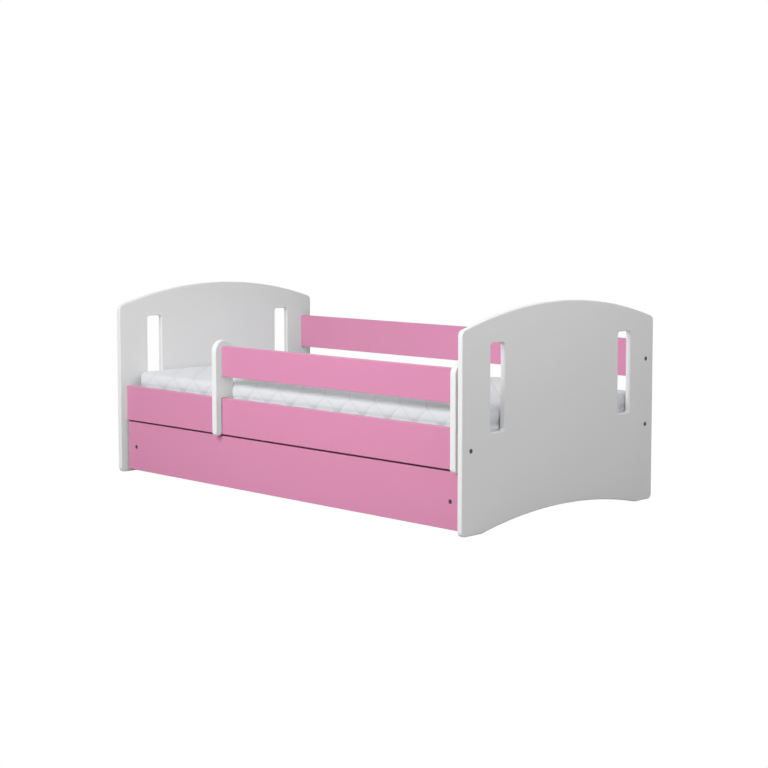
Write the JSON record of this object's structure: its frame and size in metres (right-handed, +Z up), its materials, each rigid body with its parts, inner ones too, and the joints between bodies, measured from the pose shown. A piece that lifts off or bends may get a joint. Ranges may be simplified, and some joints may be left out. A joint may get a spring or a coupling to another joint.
{
  "type": "toddler bed",
  "caption": "Low child's bed with arched slotted end panels, side rails, a slatted base, a quilted mattress, a lift-off guard and a rolling drawer.",
  "frame": {"origin": "on the floor, under the middle of the bed", "axes": "+X along the bed, -Y out of the side with the drawer and the guard, +Z up"},
  "size_m": [1.64, 0.9, 0.6549],
  "materials": {
    "white_lacquer": "smooth satin white lacquer on board",
    "pink_lacquer": "smooth satin pink lacquer on board",
    "white_melamine": "matt white melamine on chipboard",
    "white_hardboard": "thin white-faced hardboard",
    "pine": "planed, unfinished softwood",
    "beech": "turned hardwood pegs",
    "webbing": "woven polyester tape",
    "dark_bolt": "blackened, low-head hexagon-socket bolts",
    "zinc_screw": "zinc-plated",
    "wheel_plastic": "moulded dark plastic tread and web",
    "mattress_cover": "white quilted knit cover over foam"
  },
  "bodies": {
    "frame": {"end_panel_left": "white_lacquer", "end_panel_right": "white_lacquer", "front_side_rail": "pink_lacquer", "rear_side_rail": "pink_lacquer", "rear_upper_rail": "pink_lacquer", "front_ledger": "pine", "rear_ledger": "pine", "slat_01": "pine", "slat_02": "pine", "slat_03": "pine", "slat_04": "pine", "slat_05": "pine", "slat_06": "pine", "slat_07": "pine", "slat_08": "pine", "slat_09": "pine", "slat_10": "pine", "slat_11": "pine", "slat_12": "pine", "slat_13": "pine", "slat_tape_front": "webbing", "slat_tape_rear": "webbing", "ledger_screws": "zinc_screw", "slat_screws": "zinc_screw", "frame_bolts_left": "dark_bolt", "frame_bolts_right": "dark_bolt", "frame_barrel_nuts": "zinc_screw", "frame_dowels": "beech"},
    "guard": {"guard_post_left": "white_lacquer", "guard_post_right": "white_lacquer", "guard_rail": "pink_lacquer", "guard_screws": "dark_bolt", "guard_dowels": "beech"},
    "drawer": {"drawer_front": "pink_lacquer", "drawer_side_left": "white_melamine", "drawer_side_right": "white_melamine", "drawer_back": "white_melamine", "drawer_bottom": "white_hardboard", "drawer_bearer_left": "pine", "drawer_bearer_middle": "pine", "drawer_bearer_right": "pine", "bearer_screws": "zinc_screw", "drawer_bolts": "dark_bolt", "drawer_barrel_nuts": "zinc_screw", "drawer_dowels": "beech", "drawer_back_screws": "dark_bolt", "castor_forks": "zinc_screw", "castor_axles": "zinc_screw", "castor_screws": "zinc_screw"},
    "mattress": {"mattress": "mattress_cover"},
    "castor_wheel_front_left": {"castor_wheel_front_left": "wheel_plastic"},
    "castor_wheel_rear_left": {"castor_wheel_rear_left": "wheel_plastic"},
    "castor_wheel_front_right": {"castor_wheel_front_right": "wheel_plastic"},
    "castor_wheel_rear_right": {"castor_wheel_rear_right": "wheel_plastic"}
  },
  "joints": [
    {"name": "drawer_slide", "type": "slide", "parent": "frame", "child": "drawer", "axis": [0, -1, 0], "range_m": [0, 0.75]},
    {"name": "guard_lift", "type": "slide", "parent": "frame", "child": "guard", "axis": [0, 0, 1], "range_m": [0, 0.1]},
    {"name": "mattress_lift", "type": "slide", "parent": "frame", "child": "mattress", "axis": [0, 0, 1], "range_m": [0, 0.25]},
    {"name": "castor_wheel_front_left_spin", "type": "hinge", "parent": "drawer", "child": "castor_wheel_front_left", "pos_m": [-0.64, -0.33, 0.018], "axis": [1, 0, 0], "continuous": true},
    {"name": "castor_wheel_rear_left_spin", "type": "hinge", "parent": "drawer", "child": "castor_wheel_rear_left", "pos_m": [-0.64, 0.25, 0.018], "axis": [1, 0, 0], "continuous": true},
    {"name": "castor_wheel_front_right_spin", "type": "hinge", "parent": "drawer", "child": "castor_wheel_front_right", "pos_m": [0.64, -0.33, 0.018], "axis": [1, 0, 0], "continuous": true},
    {"name": "castor_wheel_rear_right_spin", "type": "hinge", "parent": "drawer", "child": "castor_wheel_rear_right", "pos_m": [0.64, 0.25, 0.018], "axis": [1, 0, 0], "continuous": true}
  ],
  "couplings": [
    {"joint": "castor_wheel_front_left_spin", "follows": "drawer_slide", "rad_per_m": 55.556},
    {"joint": "castor_wheel_rear_left_spin", "follows": "drawer_slide", "rad_per_m": 55.556},
    {"joint": "castor_wheel_front_right_spin", "follows": "drawer_slide", "rad_per_m": 55.556},
    {"joint": "castor_wheel_rear_right_spin", "follows": "drawer_slide", "rad_per_m": 55.556}
  ]
}
